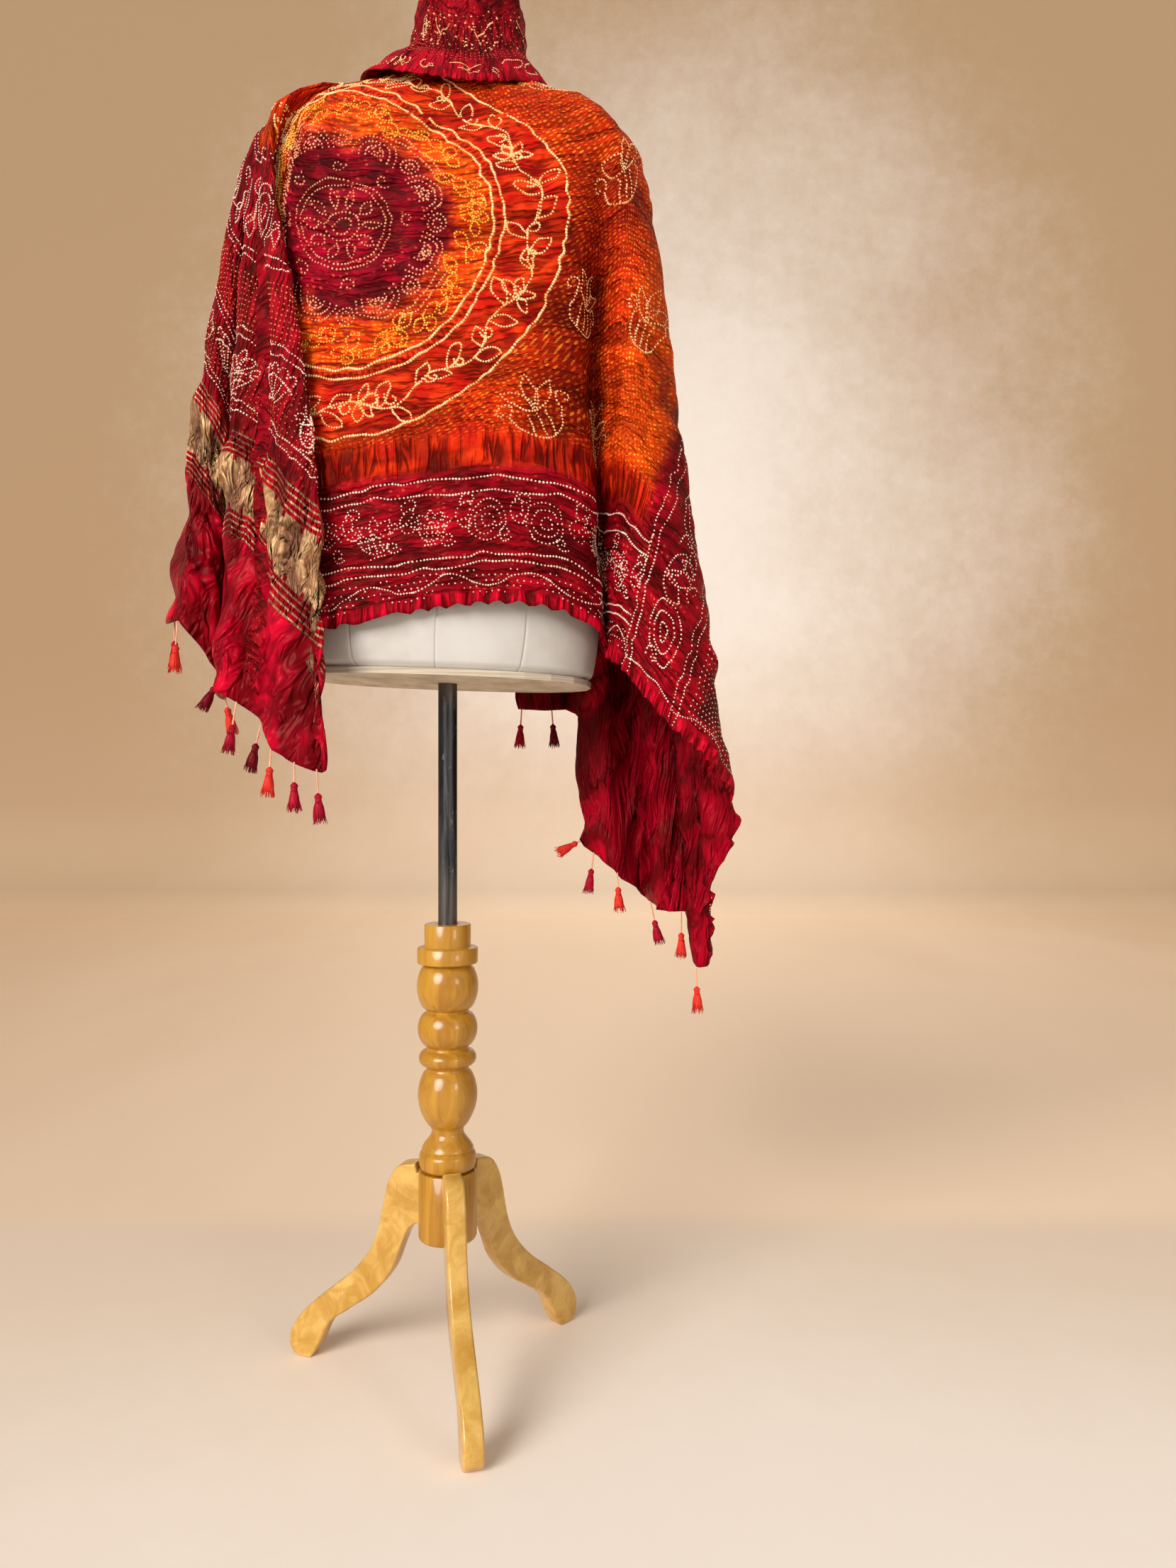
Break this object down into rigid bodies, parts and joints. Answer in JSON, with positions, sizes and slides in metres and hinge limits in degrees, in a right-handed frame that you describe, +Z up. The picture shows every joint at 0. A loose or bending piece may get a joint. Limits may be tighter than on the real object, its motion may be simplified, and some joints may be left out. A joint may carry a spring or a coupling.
{
  "type": "bandhani shawl on dress form stand",
  "caption": "Crinkled red and orange bandhani shawl with tasselled ends, draped over a white dress form on a steel pole and a turned wooden tripod.",
  "frame": {"origin": "on the floor, under the middle of the model's box; the pole's axis is 6.5 mm to -X and 6 mm to +Y of it", "axes": "+Z up; -Y is the near side in the picture, the form's back; +X is to the right in the picture"},
  "size_m": [0.6724, 0.3882, 1.6476],
  "materials": {
    "silk": "crinkled satin",
    "tassel_bright": "silk thread",
    "tassel_deep": "silk thread",
    "tassel_dark": "silk thread",
    "form_cloth": "stretched cotton",
    "board": "raw",
    "wood": "varnished",
    "steel": "worn"
  },
  "bodies": {
    "root": {"shawl": "silk", "torso": "form_cloth", "base_board": "board", "neck_cap": "wood", "pole": "steel", "column": "wood", "hub": "wood", "leg_front": "wood", "leg_left": "wood", "leg_right": "wood", "tassel_01": "tassel_deep", "tassel_02": "tassel_bright", "tassel_03": "tassel_deep", "tassel_04": "tassel_deep", "tassel_05": "tassel_bright", "tassel_06": "tassel_deep", "tassel_07": "tassel_deep", "tassel_08": "tassel_bright", "tassel_09": "tassel_dark", "tassel_10": "tassel_bright", "tassel_11": "tassel_deep", "tassel_12": "tassel_dark", "tassel_13": "tassel_bright", "tassel_14": "tassel_deep", "tassel_15": "tassel_deep", "tassel_16": "tassel_bright", "tassel_17": "tassel_bright", "tassel_18": "tassel_deep", "tassel_19": "tassel_bright", "tassel_20": "tassel_deep", "tassel_21": "tassel_bright", "tassel_22": "tassel_dark", "tassel_23": "tassel_dark", "tassel_24": "tassel_deep"}
  },
  "joints": []
}
